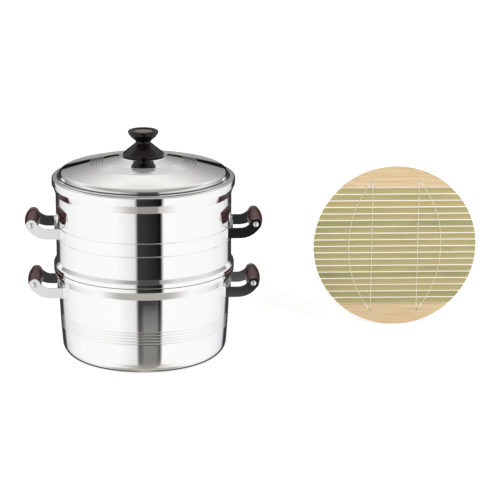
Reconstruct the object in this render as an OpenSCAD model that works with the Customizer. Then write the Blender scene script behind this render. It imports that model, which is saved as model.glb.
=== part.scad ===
// Two-tier steamer pot: a water pot, a steaming tier with a perforated floor that stands on the
// pot's rim, a domed lid with a turned knob, four strap handles with turned wooden grips, and the
// round bamboo mat of the set. Millimetres, +Z up, origin under the middle of the pot's foot.

/* [Metal sheet] */
// Thickness of the sheet that the pot, the tier and the lid are spun from
wall_t = 1.0; // [0.7:0.1:1.3]
// Width of a fine ring groove
groove_w = 2.0; // [1.2:0.2:2.6]
// Depth of a fine ring groove
groove_depth = 0.45; // [0.2:0.05:0.6]

/* [Set] */
// Inner diameter of the tier's straight wall, the set's nominal size
tier_bore_d = 280; // [240:1:320]
// How far the rim bands of pot and tier stand out from the tier's wall, so that one lid fits both
mouth_step = 4.3; // [3:0.1:6]

/* [Pot] */
// Height of the pot's rim above the table
pot_h = 145.7; // [130:0.1:170]
// How far the pot's wall lies inside the tier's wall, just below its stepped mouth
pot_inset = 2.9; // [1.5:0.1:5]
// How far the wall draws in from there down to the table
pot_taper = 6.9; // [2:0.1:12]
// How far the wall bows out between foot and mouth
pot_bow = 1.4; // [0:0.1:3]
// Radius between the foot and the wall
pot_foot_r = 20; // [10:1:26]
// Height of the upright rim band
pot_band_h = 6.0; // [4:0.5:9]
// Height of the sloping step below the band
pot_step_h = 13.5; // [9:0.5:18]
// Number of ring grooves round the pot
pot_groove_count = 5; // [1:1:7]
// Height of the lowest ring groove
pot_groove_z = 52; // [40:1:60]
// Distance between ring grooves
pot_groove_pitch = 4.85; // [3:0.05:6]

/* [Steaming tier] */
// Height from the seat on the pot's rim to the tier's own rim
tier_h = 146; // [125:1:170]
// Height of the bulge that sits on the pot's rim
bulge_h = 14; // [10:1:20]
// How far the spigot reaches down into the pot
spigot_h = 18; // [12:1:24]
// Height of the upright rim band
tier_band_h = 12.6; // [11:0.2:16]
// Height of the sloping step below the band
tier_step_h = 12.4; // [9:0.2:18]
// Height of the lower ring groove above the seat
tier_groove_z = 50.5; // [30:0.5:60]
// Distance between the two ring grooves
tier_groove_pitch = 21.5; // [10:0.5:30]
// Diameter of a steam hole
steam_hole_d = 9; // [5:1:12]
// Number of hole rings round the middle hole
steam_rings = 4; // [2:1:4]
// Distance between hole rings
steam_pitch = 27; // [18:1:29]

/* [Lid] */
// How far the skirt reaches down over the tier's rim
skirt_h = 10; // [7:0.5:12]
// Width of the nearly flat shoulder inside the skirt
shoulder_w = 18; // [12:1:24]
// Rise of the shoulder towards the dome
shoulder_rise = 0.6; // [0:0.1:2]
// Height of the dome above the shoulder, at the knob's seat
dome_h = 31.4; // [20:0.2:40]
// Diameter of the raised seat below the knob
seat_d = 76; // [70:1:84]
// Height of the raised seat
seat_h = 0.8; // [0.4:0.1:1.5]
// Number of fine rings on the dome
dome_ring_count = 5; // [1:1:6]
// Radius of the innermost fine ring
dome_ring_r = 66; // [50:1:70]
// Distance between the fine rings
dome_ring_pitch = 4.6; // [3:0.2:6]

/* [Knob] */
// Height of the knob
knob_h = 41; // [34:0.5:50]
// Diameter of the knob's foot
knob_foot_d = 65; // [56:1:68]
// Height of the upright edge of the foot
knob_edge_h = 4; // [3:0.5:6]
// Diameter of the neck
knob_neck_d = 24.4; // [18:0.2:28]
// Height of the neck above the foot
knob_neck_z = 24; // [19:0.5:26]
// Diameter of the cup
knob_cup_d = 48.5; // [40:0.5:54]
// Height of the upright rim of the cup
knob_rim_h = 4.5; // [3.5:0.5:6]
// Diameter of the dish in the top
knob_dish_d = 33; // [24:1:36]
// Depth of the dish
knob_dish_depth = 2; // [1:0.5:3]
// Diameter of the screw's shank
screw_d = 5; // [4:0.5:6]
// Length of the screw's shank in the knob
screw_grip = 16; // [10:1:18]
// Diameter of the screw's head
screw_head_d = 10; // [9:0.5:12]
// Height of the screw's head
screw_head_h = 3; // [2:0.5:4]
// Diameter of the washer
washer_d = 16; // [14:1:20]
// Thickness of the washer
washer_t = 1.2; // [0.8:0.2:2]

/* [Handles] */
// Height of the strap
strap_h = 17; // [14:0.5:20]
// Thickness of the strap
strap_t = 2.5; // [2:0.1:3]
// Width over the outer faces of the two arms, at the wall
strap_span = 88; // [80:1:100]
// Angle by which each arm leans in towards the other
arm_toe = 2.5; // [0:0.5:4]
// Distance of the grip's axis from the wall
grip_reach = 37.5; // [34:0.5:42]
// Rise of the grip's axis above the middle of the strap
grip_rise = 14.1; // [12:0.1:16]
// Length of the curved end of an arm, along the table
arm_bend_l = 24; // [20:0.5:26]
// How far the round end of an arm stands out beyond half the strap's height
arm_end_over = 0.5; // [0.2:0.1:1]
// Diameter of the grip in the middle
grip_mid_d = 24.4; // [20:0.2:28]
// Diameter of the grip at its ends
grip_end_d = 17.5; // [15:0.5:20]
// Diameter of the rod through the grip
rod_d = 5; // [4:0.5:6]
// Diameter of the rod's domed heads
rod_head_d = 9; // [8:0.5:11]
// Height of the rod's domed heads
rod_head_h = 2.8; // [2:0.2:3.6]
// Distance of the middle of the pot's straps below its rim
pot_strap_drop = 35.7; // [34:0.1:50]
// Height of the middle of the tier's straps above its seat
tier_strap_z = 62; // [45:0.5:80]
// Diameter of a rivet's shank
rivet_d = 4; // [3:0.5:5]
// Diameter of a rivet's head
rivet_head_d = 9; // [7:0.5:11]
// Height of a rivet's outer head
rivet_head_h = 2; // [1.5:0.1:2.6]
// Distance between the two rivets of a handle
rivet_span = 44; // [36:1:56]

/* [Bamboo mat] */
// Diameter of the mat
mat_d = 274; // [260:1:276]
// Distance of the mat's middle to the right of the pot's axis
mat_x = 421.5; // [370:0.5:450]
// Distance of the mat's back behind the pot's axis
mat_y = 128; // [0:1:200]
// Depth of an end board, from its straight edge to the mat's rim
board_depth = 34.8; // [28:0.2:42]
// Thickness of an end board
board_t = 5; // [4.6:0.1:7]
// Number of slats between the end boards
slat_count = 18; // [12:1:18]
// Gap between neighbouring slats
slat_gap = 1.6; // [1.5:0.1:2.2]
// Thickness of a slat
slat_t = 3; // [2.4:0.1:3.2]
// Radius of a strand of string
strand_r = 0.45; // [0.35:0.05:0.5]
// Distance of a string hole from the board's straight edge
string_hole_inset = 8.4; // [6:0.2:10]
// Distance of a string hole from the mat's middle line
string_hole_x = 40; // [32:1:46]
// Distance of the bowed strings from the mat's middle line, at their widest
string_bow_x = 77.6; // [64:0.2:84]

/* [Clearances] */
// Gap between parts that rest on each other and come apart
lift_gap = 0.3; // [0.2:0.05:0.5]
// Gap between the spigot and the inside of the pot
spigot_gap = 1.2; // [0.6:0.1:2]
// Gap between the lid's skirt and the tier's rim
skirt_gap = 0.6; // [0.4:0.1:1]
// Gap between fixed parts that lie against each other
seat_gap = 0.1; // [0.05:0.01:0.15]
// Gap round a rod, rivet or screw in its hole
hole_gap = 0.1; // [0.05:0.01:0.15]
// Gap between the strands of string and what they pass
strand_gap = 0.15; // [0.12:0.01:0.2]

/* [Hidden] */
$fn = 96;
SIDES = [[-1, "left"], [1, "right"]];
HANDLE_PIECES = ["bracket", "grip", "rod", "rivets"];
STRING_LINES = 4;
function slat_name(i) = str("mat_slat_", i < 10 ? "0" : "", i);
function handle_name(body, piece, side) = str(body, "_", piece, "_", side[1]);

// Colours, as the photograph shows them
METAL = "gainsboro";
WOOD = "#4a1c16";
PHENOLIC = "#1d1a1a";
BAMBOO = "#b5ab72";
BOARD = "#e3c08c";
STRING = "#efe6cf";

ARC_STEP = 15;          // degrees between the points of a rounded corner
OVER = 1;               // how far a cutting shape runs past what it cuts
LOW_STEPS = 2;          // stretches of the pot's bowed wall below its grooves
WALL_STEPS = 4;         // and above them
DOME_STEPS = 7;         // stretches of the lid's dome outside its rings, and inside them
EDGE_R = 0.8;           // radius on the knob's sharper edges
SOFT_R = 1.6;           // radius on its softer edges
LIP_R = 2.4;            // radius on the lip of its cup
CUP_R = 8;              // radius of the cup's underside
CUP_SWELL = 2 / 3;      // share of the cup's width that it has half way up its underside
NECK_H = 3;             // height of the knob's neck
RIM_R = 3;              // radius at the foot of a rim band
STEP_R = 4;             // radius where a step leaves its wall
BEND_R = 2;             // radius of a sharper bend in the sheet
SEAT_R = 1.6;           // radius at both edges of the tier's seat
BULGE_R = 5.4;          // radius round the middle of the bulge
FLOOR_R = 6;            // radius between the tier's floor and its spigot

// Radii and heights that follow from the sizes above
tier_r = tier_bore_d / 2 + wall_t;
mouth_r = tier_r + mouth_step;
pot_top_r = tier_r - pot_inset;
pot_step_z = pot_h - pot_band_h - pot_step_h;
pot_strap_z = pot_h - pot_strap_drop;
tier_z = pot_h + lift_gap;
tier_rim_z = tier_z + tier_h;
tier_step_z = tier_rim_z - tier_band_h - tier_step_h;
spigot_r = pot_top_r - wall_t - spigot_gap;
floor_z = tier_z - spigot_h;
lid_r = mouth_r + skirt_gap + wall_t;
lid_z = tier_rim_z + lift_gap + wall_t;
dome_r = lid_r - shoulder_w;
dome_z = lid_z + shoulder_rise;
seat_z = dome_z + dome_h + seat_h;
dome_drop = (pow(dome_r, 2) - pow(seat_d / 2, 2) - pow(dome_h, 2)) / (2 * dome_h);
dome_sphere_r = norm([dome_drop, dome_r]);      // the sphere that the dome is a cap of

// ---- Outlines ------------------------------------------------------------------------------

function unit(v) = v / norm(v);
function cross2(u, v) = u[0] * v[1] - u[1] * v[0];
function flat(p) = [p[0], p[1]];

// The arc that rounds the corner at b, from the edge a-b to the edge b-c
function corner(a, b, c, r) =
    let (u = unit(a - b), v = unit(c - b),
         half = acos(u * v) / 2,
         middle = b + unit(u + v) * r / sin(half),
         start = b + u * r / tan(half) - middle,
         turn = 180 - 2 * half,
         steps = max(1, ceil(turn / ARC_STEP)),
         way = cross2(-u, v) > 0 ? 1 : -1,
         first = atan2(start[1], start[0]))
    [for (i = [0 : steps]) let (t = first + way * turn * i / steps)
        middle + r * [cos(t), sin(t)]];

// An open outline through points [x, y, radius], each corner rounded by its radius
function rounded(p) =
    [for (i = [0 : len(p) - 1])
        each (p[i][2] == 0 ? [flat(p[i])]
                           : corner(flat(p[i - 1]), flat(p[i]), flat(p[i + 1]), p[i][2]))];

// The same outline moved to its left by t, with mitred corners
function left_normal(a, b) = let (d = unit(b - a)) [-d[1], d[0]];
function moved(p, t) =
    [for (i = [0 : len(p) - 1])
        let (n = i > 0 ? left_normal(p[i - 1], p[i]) : left_normal(p[0], p[1]),
             m = i < len(p) - 1 ? left_normal(p[i], p[i + 1]) : n,
             s = unit(n + m))
        p[i] + s * t / (s * n)];

function reversed(p) = [for (i = [len(p) - 1 : -1 : 0]) p[i]];

// A sheet of thickness wall_t to the left of an outline, spun round the axis
module spun(outline) {
    rotate_extrude() polygon(concat(outline, reversed(moved(outline, wall_t))));
}

// The three points of a fine groove in a wall that passes through p along the direction d
function groove(p, d) =
    [p - d * groove_w / 2, p + [-d[1], d[0]] * groove_depth, p + d * groove_w / 2];
function cornered(p) = [for (q = p) [q[0], q[1], 0]];

// ---- Pot -----------------------------------------------------------------------------------

// Outer radius of the pot's wall at height z
function pot_r(z) =
    let (t = z / pot_step_z)
    pot_top_r - pot_taper * (1 - t) + 4 * pot_bow * t * (1 - t);

pot_groove_top = pot_groove_z + pot_groove_pitch * (pot_groove_count - 1);
function pot_wall(z_from, z_to, steps) =
    [for (i = [0 : steps]) let (z = z_from + (z_to - z_from) * i / steps) [pot_r(z), z, 0]];
function pot_grooves() =
    [for (i = [0 : pot_groove_count - 1])
        let (z = pot_groove_z + pot_groove_pitch * i)
        each cornered(groove([pot_r(z), z], [0, 1]))];

pot_outline = rounded(concat(
    [[0, 0, 0], [pot_r(0), 0, pot_foot_r]],
    pot_wall(pot_foot_r + groove_w * 2, pot_groove_z - groove_w, LOW_STEPS),
    pot_grooves(),
    pot_wall(pot_groove_top + groove_w, pot_step_z - STEP_R, WALL_STEPS),
    [[pot_top_r, pot_step_z, BEND_R], [mouth_r, pot_h - pot_band_h, RIM_R], [mouth_r, pot_h, 0]]));

module pot_body() {
    color(METAL) difference() {
        spun(pot_outline);
        for (side = [-1, 1]) on_handle(side, pot_strap_z) rivet_holes(pot_r(pot_strap_z));
    }
}

// ---- Steaming tier -------------------------------------------------------------------------

tier_outline = rounded(concat(
    [[0, floor_z, 0], [spigot_r, floor_z, FLOOR_R],
     [spigot_r, tier_z, SEAT_R], [mouth_r, tier_z, SEAT_R],
     [mouth_r, tier_z + bulge_h / 2, BULGE_R], [tier_r, tier_z + bulge_h, STEP_R]],
    cornered(groove([tier_r, tier_z + tier_groove_z], [0, 1])),
    cornered(groove([tier_r, tier_z + tier_groove_z + tier_groove_pitch], [0, 1])),
    [[tier_r, tier_step_z, STEP_R],
     [mouth_r, tier_rim_z - tier_band_h, STEP_R], [mouth_r, tier_rim_z, 0]]));

module steam_holes() {
    depth = wall_t + 2 * OVER;
    translate([0, 0, floor_z - OVER]) {
        cylinder(d = steam_hole_d, h = depth);
        for (ring = [1 : steam_rings], i = [1 : 6 * ring])
            rotate([0, 0, 60 * i / ring]) translate([steam_pitch * ring, 0, 0])
                cylinder(d = steam_hole_d, h = depth);
    }
}

module steamer_body() {
    color(METAL) difference() {
        spun(tier_outline);
        steam_holes();
        for (side = [-1, 1]) on_handle(side, tier_z + tier_strap_z) rivet_holes(tier_r);
    }
}

// ---- Handles -------------------------------------------------------------------------------
// A handle is drawn on the +X side, with the middle of its strap at z = 0 and the wall's outer
// surface at radius wall_r. rise is the slope of the wall: radius gained per height.

module on_handle(side, z) {
    translate([0, 0, z]) rotate([0, 0, side > 0 ? 0 : 180]) children();
}

arm_y = strap_span / 2 - strap_t / 2;

function web_r(wall_r) = wall_r + seat_gap;
// Where the web ends and an arm starts to lean in, and the arm's middle plane at the grip's axis
function arm_x(wall_r) = sqrt(pow(web_r(wall_r), 2) - pow(strap_span / 2, 2));
function arm_grip_y(wall_r) = arm_y - (wall_r + grip_reach - arm_x(wall_r)) * tan(arm_toe);
// Half the room between the arms for a round end of radius r, and half the width over them
function room_y(wall_r, r) =
    arm_grip_y(wall_r) - strap_t / 2 / cos(arm_toe) - r * tan(arm_toe) - seat_gap;
function over_y(wall_r, r) =
    arm_grip_y(wall_r) + strap_t / 2 / cos(arm_toe) + r * tan(arm_toe) + seat_gap;
function rivet_turn(wall_r) = asin(rivet_span / 2 / wall_r);

module rivet_holes(wall_r) {
    for (way = [-1, 1]) rotate([0, 0, way * rivet_turn(wall_r)])
        translate([wall_r - wall_t - OVER, 0, 0]) rotate([0, 90, 0])
            cylinder(d = rivet_d + 2 * hole_gap, h = wall_t + seat_gap + strap_t + 2 * OVER);
}

// Side view of the strap: straight from the wall, then curving up to a round end on the rod
ARM_STEPS = 8;
module arm_side(grip_x) {
    bend_x = grip_x - arm_bend_l;
    swing = 2 * atan(grip_rise / arm_bend_l);
    bend_r = arm_bend_l / sin(swing);
    half = strap_h / 2;
    function edge(r) = [for (i = [0 : ARM_STEPS]) let (a = swing * i / ARM_STEPS)
        [bend_x + r * sin(a), bend_r - r * cos(a)]];
    polygon(concat([[bend_x / 2, half], [bend_x / 2, -half]],
                   edge(bend_r + half), reversed(edge(bend_r - half))));
    translate([grip_x, grip_rise]) circle(r = half + arm_end_over);
}

// A cone that follows the wall, its surface at radius r half way up the strap
module wall_cone(r, rise, h) {
    translate([0, 0, -h / 2])
        cylinder(r1 = r - rise * h / 2, r2 = r + rise * h / 2, h = h);
}

// The strap's middle stretch, bent round the wall from arm to arm, from strap_t inside radius r
// to strap_t outside it
WEB_INSET = 0.02;       // how far its edges lie inside those of the arms
module web(r, rise) {
    turn = asin(arm_y / r);
    half = strap_h / 2 - WEB_INSET;
    rotate([0, 0, -turn]) rotate_extrude(angle = 2 * turn)
        polygon([[r - rise * half - strap_t, -half], [r - rise * half + strap_t, -half],
                 [r + rise * half + strap_t, half], [r + rise * half - strap_t, half]]);
}

module bracket(wall_r, rise) {
    grip_x = wall_r + grip_reach;
    color(METAL) difference() {
        union() {
            web(web_r(wall_r), rise);
            for (way = [-1, 1]) translate([arm_x(wall_r), way * arm_y, 0])
                rotate([0, 0, -way * arm_toe]) translate([-arm_x(wall_r), strap_t / 2, 0])
                    rotate([90, 0, 0]) linear_extrude(strap_t) arm_side(grip_x);
        }
        wall_cone(web_r(wall_r), rise, strap_h * 2);
        rivet_holes(wall_r);
        translate([grip_x, strap_span / 2 + strap_t, grip_rise]) rotate([90, 0, 0])
            cylinder(d = rod_d + 2 * hole_gap, h = strap_span + 2 * strap_t);
    }
}

GRIP_STEPS = 12;
GRIP_POWER = 2.2;       // 2 gives a plain barrel, more a fuller one
function grip_r(share) =
    grip_mid_d / 2 - (grip_mid_d - grip_end_d) / 2 * pow(abs(share), GRIP_POWER);

module grip(wall_r) {
    grip_l = 2 * room_y(wall_r, grip_end_d / 2);
    outline = [for (i = [0 : GRIP_STEPS]) let (share = 2 * i / GRIP_STEPS - 1)
        [grip_r(share), share * grip_l / 2]];
    bore = rod_d / 2 + hole_gap;
    color(WOOD) translate([wall_r + grip_reach, 0, grip_rise]) rotate([90, 0, 0])
        rotate_extrude()
            polygon(concat([[bore, -grip_l / 2]], outline, [[bore, grip_l / 2]]));
}

// A domed head of diameter d and height h that stands on the plane z = 0
module dome_head(d, h) {
    ball = (pow(d / 2, 2) + pow(h, 2)) / (2 * h);
    intersection() {
        translate([0, 0, h - ball]) sphere(r = ball);
        cylinder(d = d + OVER, h = h + OVER);
    }
}

module rod(wall_r) {
    out = over_y(wall_r, rod_head_d / 2);
    color(METAL) translate([wall_r + grip_reach, 0, grip_rise]) rotate([90, 0, 0]) {
        translate([0, 0, -out - rod_head_h / 2]) cylinder(d = rod_d, h = 2 * out + rod_head_h);
        translate([0, 0, out]) dome_head(rod_head_d, rod_head_h);
        mirror([0, 0, 1]) translate([0, 0, out]) dome_head(rod_head_d, rod_head_h);
    }
}

// How far the curved wall bends away from a flat rivet head
function rivet_sag(wall_r) = wall_r - sqrt(pow(wall_r, 2) - pow(rivet_head_d / 2, 2));

module rivets(wall_r, rise) {
    tilt = rise * rivet_head_d / 2;
    outer = web_r(wall_r) + strap_t + seat_gap + tilt;
    inner = wall_r - wall_t - seat_gap - tilt - rivet_sag(wall_r);
    for (way = [-1, 1]) rotate([0, 0, way * rivet_turn(wall_r)])
        translate([inner, 0, 0]) rotate([0, 90, 0]) color(METAL) {
            translate([0, 0, outer - inner]) dome_head(rivet_head_d, rivet_head_h);
            translate([0, 0, -wall_t / 2])
                cylinder(d = rivet_d, h = outer - inner + wall_t / 2 + rivet_head_h / 2);
            translate([0, 0, -wall_t]) cylinder(d = rivet_head_d, h = wall_t);
        }
}

pot_strap_r = pot_r(pot_strap_z);
pot_strap_rise = (pot_r(pot_strap_z + strap_h / 2) - pot_r(pot_strap_z - strap_h / 2)) / strap_h;

module pot_handle(side, piece) {
    on_handle(side, pot_strap_z) {
        if (piece == "bracket") bracket(pot_strap_r, pot_strap_rise);
        if (piece == "grip") grip(pot_strap_r);
        if (piece == "rod") rod(pot_strap_r);
        if (piece == "rivets") rivets(pot_strap_r, pot_strap_rise);
    }
}

module tier_handle(side, piece) {
    on_handle(side, tier_z + tier_strap_z) {
        if (piece == "bracket") bracket(tier_r, 0);
        if (piece == "grip") grip(tier_r);
        if (piece == "rod") rod(tier_r);
        if (piece == "rivets") rivets(tier_r, 0);
    }
}

// ---- Lid -----------------------------------------------------------------------------------

// Height of the dome at radius r
function dome_at(r) = dome_z - dome_drop + sqrt(pow(dome_sphere_r, 2) - pow(r, 2));
function dome_way(r) = unit([-sqrt(pow(dome_sphere_r, 2) - pow(r, 2)), r]);
function dome_wall(r_from, r_to, steps) =
    [for (i = [0 : steps]) let (r = r_from + (r_to - r_from) * i / steps) [r, dome_at(r), 0]];
dome_ring_last = dome_ring_r + dome_ring_pitch * (dome_ring_count - 1);

lid_outline = rounded(concat(
    [[lid_r, lid_z - wall_t - skirt_h, 0], [lid_r, lid_z, BEND_R]],
    dome_wall(dome_r, dome_ring_last + groove_w, DOME_STEPS),
    [for (i = [dome_ring_count - 1 : -1 : 0]) let (r = dome_ring_r + dome_ring_pitch * i)
        each cornered(groove([r, dome_at(r)], dome_way(r)))],
    dome_wall(dome_ring_r - groove_w, seat_d / 2 + seat_h * 2, DOME_STEPS),
    [[seat_d / 2, seat_z, seat_h], [0, seat_z, 0]]));

module lid_body() {
    color(METAL) difference() {
        spun(lid_outline);
        translate([0, 0, seat_z - wall_t - OVER])
            cylinder(d = screw_d + 2 * hole_gap, h = wall_t + 2 * OVER);
    }
}

knob_z = seat_z + seat_gap;
cup_r = knob_cup_d / 2;
cup_z = knob_h - knob_rim_h;
dish_r = knob_dish_d / 2;
dish_z = knob_h - knob_dish_depth;
neck_r = knob_neck_d / 2;
foot_r = knob_foot_d / 2;
cup_under_r = neck_r + (cup_r - neck_r) * CUP_SWELL - EDGE_R;
knob_outline = rounded([
    [0, 0, 0], [foot_r, 0, EDGE_R], [foot_r, knob_edge_h, SOFT_R],
    [neck_r, knob_neck_z - NECK_H, NECK_H], [neck_r, knob_neck_z, EDGE_R],
    [cup_under_r, (cup_z + knob_neck_z) / 2, CUP_R],
    [cup_r, cup_z, CUP_R], [cup_r, knob_h, LIP_R],
    [dish_r, knob_h, EDGE_R], [dish_r - knob_dish_depth, dish_z, SOFT_R], [0, dish_z, 0]]);

module lid_knob() {
    color(PHENOLIC) translate([0, 0, knob_z]) difference() {
        rotate_extrude() polygon(knob_outline);
        translate([0, 0, -OVER])
            cylinder(d = screw_d + 2 * hole_gap, h = screw_grip + 2 * OVER);
    }
}

washer_z = seat_z - wall_t - seat_gap - washer_t;

module lid_washer() {
    color(METAL) translate([0, 0, washer_z]) difference() {
        cylinder(d = washer_d, h = washer_t);
        translate([0, 0, -OVER])
            cylinder(d = screw_d + 2 * hole_gap, h = washer_t + 2 * OVER);
    }
}

module lid_screw() {
    head_z = washer_z - seat_gap;
    color(METAL) {
        translate([0, 0, head_z]) cylinder(d = screw_d, h = knob_z + screw_grip - head_z);
        translate([0, 0, head_z]) mirror([0, 0, 1]) dome_head(screw_head_d, screw_head_h);
    }
}

// ---- Bamboo mat ----------------------------------------------------------------------------
// Slats and boards run along X. Two strands go round every slat, one over and one under it, and
// change places in each gap.

mat_r = mat_d / 2;
board_y = mat_r - board_depth;
slat_pitch = (2 * board_y - slat_gap) / slat_count;
slat_w = slat_pitch - slat_gap;
slat_z = 2 * (strand_r + strand_gap);
string_hole_y = board_y + string_hole_inset;
strand_side = strand_r + strand_gap;                 // half the distance between two strands
string_hole_r = 4 * strand_side;

// The mat is drawn lying on its back and stands on its rim, with its face to the front
module on_mat() {
    translate([mat_x, mat_y, mat_r]) rotate([90, 0, 0]) children();
}

module board(side) {
    color(BOARD) on_mat() difference() {
        intersection() {
            cylinder(r = mat_r, h = board_t);
            translate([-mat_r, side > 0 ? board_y : -mat_r, 0])
                cube([mat_d, board_depth, board_t]);
        }
        for (x = [-string_hole_x, string_hole_x]) translate([x, side * string_hole_y, -OVER])
            cylinder(r = string_hole_r, h = board_t + 2 * OVER);
    }
}

// Middle of slat i, and middle of the gap that follows it, along Y
function slat_y(i) = -board_y + slat_gap + slat_w / 2 + slat_pitch * (i - 1);
function gap_y(i) = -board_y + slat_gap / 2 + slat_pitch * i;

module slat(i) {
    color(BAMBOO) on_mat() intersection() {
        cylinder(r = mat_r, h = board_t);
        translate([-mat_r, slat_y(i) - slat_w / 2, slat_z]) cube([mat_d, slat_w, slat_t]);
    }
}

// A string line lies at x = line_x: straight for the inner two, bowed out for the outer two
BOW_POWER = 2.3;        // 2 gives a parabola, more a fuller bow
function line_x(bowed, y) =
    let (start = string_hole_x + (bowed ? 2 : -2) * strand_side)
    bowed ? start + (string_bow_x - start) * (1 - pow(abs(y) / string_hole_y, BOW_POWER)) : start;

// Strand 0 goes over the even slats and strand 1 over the odd ones; both lie on top of the boards
function is_over(i, strand) = (i + strand) % 2 == 0;
function is_board(i) = i == 0 || i == slat_count + 1;
function level(i, strand) =
    is_board(i) ? board_t + strand_side
    : is_over(i, strand) ? slat_z + slat_t + strand_side : slat_z - strand_side;
function gap_way(i, strand) =
    (i < slat_count ? is_over(i + 1, strand) : !is_over(i, strand)) ? -1 : 1;

GAP_TURN = 0.25;        // where a strand has turned down into a gap, from the gap's middle
GAP_LEAD = 0.2;         // where it starts to turn, from the slat's edge
GAP_DROP = 0.06;        // share of the way down that it has gone by then

// Points [bowed line's y, z, shift across the line] of a strand through gap i
function gap_points(i, strand) =
    let (from = level(i, strand), to = level(i + 1, strand), way = gap_way(i, strand),
         y = gap_y(i), lead = slat_gap / 2 + GAP_LEAD)
    [[y - lead, from, is_board(i) ? way : 0],
     [y - GAP_TURN, from + (to - from) * GAP_DROP, way],
     [y, (from + to) / 2, way],
     [y + GAP_TURN, to - (to - from) * GAP_DROP, way],
     [y + lead, to, is_board(i + 1) ? way : 0]];

// Points of a strand from its end in the hole of a board up to that board's top
function end_points(side, way) =
    let (y = side * string_hole_y, top = board_t + strand_side)
    [[y, strand_side, way], [y, board_t - strand_r, way], [y - side * 2 * strand_r, top, way]];

function strand_points(bowed, strand) =
    [for (p = concat(end_points(-1, gap_way(0, strand)),
                     [for (i = [0 : slat_count]) each gap_points(i, strand)],
                     reversed(end_points(1, gap_way(slat_count, strand)))))
        [line_x(bowed, p[0]) + p[2] * strand_side, p[0], p[1]]];

// A tube of radius r along points p, none of whose stretches runs along X
TUBE_SIDES = 6;
module tube(p, r) {
    last = len(p) - 1;
    rings = [for (i = [0 : last])
        let (way = unit(p[min(i + 1, last)] - p[max(i - 1, 0)]),
             u = unit(cross(way, [1, 0, 0])), v = cross(way, u))
        for (k = [0 : TUBE_SIDES - 1]) let (a = 360 * k / TUBE_SIDES)
            p[i] + r * (cos(a) * u + sin(a) * v)];
    sides = [for (i = [0 : last - 1], k = [0 : TUBE_SIDES - 1])
        let (n = (k + 1) % TUBE_SIDES, a = i * TUBE_SIDES, b = a + TUBE_SIDES)
        each [[a + k, a + n, b + n], [a + k, b + n, b + k]]];
    first_cap = [for (k = [TUBE_SIDES - 1 : -1 : 0]) k];
    last_cap = [for (k = [0 : TUBE_SIDES - 1]) last * TUBE_SIDES + k];
    polyhedron(rings, concat([first_cap], sides, [last_cap]), convexity = 10);
}

// Lines 1 to 4 run from left to right: bowed, straight, straight, bowed
module string_line(n) {
    bowed = n == 1 || n == STRING_LINES;
    color(STRING) on_mat() mirror([n <= STRING_LINES / 2 ? 1 : 0, 0, 0])
        for (strand = [0, 1]) tube(strand_points(bowed, strand), strand_r);
}

pot_body();
steamer_body();
lid_body();
lid_knob();
lid_screw();
lid_washer();
board(-1);  // mat_board_bottom
board(1);  // mat_board_top
for (piece = HANDLE_PIECES, side = SIDES) {
    pot_handle(side[0], piece);
    tier_handle(side[0], piece);
}
for (i = [1 : slat_count]) slat(i);
for (i = [1 : STRING_LINES]) string_line(i);
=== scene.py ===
import math

import bpy
from mathutils import Matrix, Vector


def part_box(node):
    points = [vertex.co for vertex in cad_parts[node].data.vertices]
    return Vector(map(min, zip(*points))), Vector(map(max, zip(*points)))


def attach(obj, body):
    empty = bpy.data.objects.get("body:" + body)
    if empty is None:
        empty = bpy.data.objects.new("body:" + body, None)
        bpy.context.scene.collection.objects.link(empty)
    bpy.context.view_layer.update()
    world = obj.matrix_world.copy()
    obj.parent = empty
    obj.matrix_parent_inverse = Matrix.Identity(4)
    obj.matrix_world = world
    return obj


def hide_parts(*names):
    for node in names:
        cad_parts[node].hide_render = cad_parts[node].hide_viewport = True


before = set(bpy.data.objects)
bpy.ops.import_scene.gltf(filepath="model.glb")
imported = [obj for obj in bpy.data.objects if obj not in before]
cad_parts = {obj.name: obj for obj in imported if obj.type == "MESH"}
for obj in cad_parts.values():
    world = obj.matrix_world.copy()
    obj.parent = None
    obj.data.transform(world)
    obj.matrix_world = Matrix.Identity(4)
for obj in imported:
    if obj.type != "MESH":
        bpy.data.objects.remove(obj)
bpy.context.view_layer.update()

# Two-tier steamer pot on a white table, with its round bamboo mat standing beside it.
# Sizes in the dictionaries are millimetres, and Blender's own are metres.
mm = 0.001
touching = 0.2      # a face this near to a radius or a level counts as lying on it
scene = bpy.context.scene


def boxOf(node):  # lowest and highest corner of a CAD node, in mm
    low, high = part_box(node)
    return low / mm, high / mm


def deselectAll():
    bpy.ops.object.select_all(action="DESELECT")


def choose(*pieces):  # selects these pieces alone and makes the first one active
    deselectAll()
    for piece in pieces:
        piece.select_set(True)
    bpy.context.view_layer.objects.active = pieces[0]


def joined(*pieces):  # puts the pieces together into the first one
    choose(*pieces)
    bpy.ops.object.join()
    return pieces[0]


# ---- colours and nodes

def tone(code):  # sRGB hex to a linear colour
    parts = [int(code[i:i + 2], 16) / 255 for i in (0, 2, 4)]
    return [p / 12.92 if p <= 0.04045 else ((p + 0.055) / 1.055) ** 2.4 for p in parts] + [1]


def addNode(tree, kind, inputs=None, stops=None, **settings):
    node = tree.nodes.new("ShaderNode" + kind)
    for name, value in settings.items():
        setattr(node, name, value)
    for name, value in (inputs or {}).items():
        if isinstance(value, bpy.types.NodeSocket):
            tree.links.new(value, node.inputs[name])
        else:
            node.inputs[name].default_value = value
    if stops:  # colours along a ramp, as (place, sRGB hex)
        ramp = node.color_ramp.elements
        while len(ramp) < len(stops):
            ramp.new(1)
        for element, (place, code) in zip(ramp, stops):
            element.position = place
            element.color = tone(code)
    return node


def newMaterial(name, values):
    material = bpy.data.materials.new(name)
    material.use_nodes = True
    tree = material.node_tree
    shader = tree.nodes["Principled BSDF"]
    for socket, value in values.items():
        shader.inputs[socket].default_value = value
    return material, tree, shader


def reckon(tree, operation, *values):  # what a Math node makes of the values
    return addNode(tree, "Math", dict(enumerate(values)), operation=operation).outputs[0]


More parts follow.
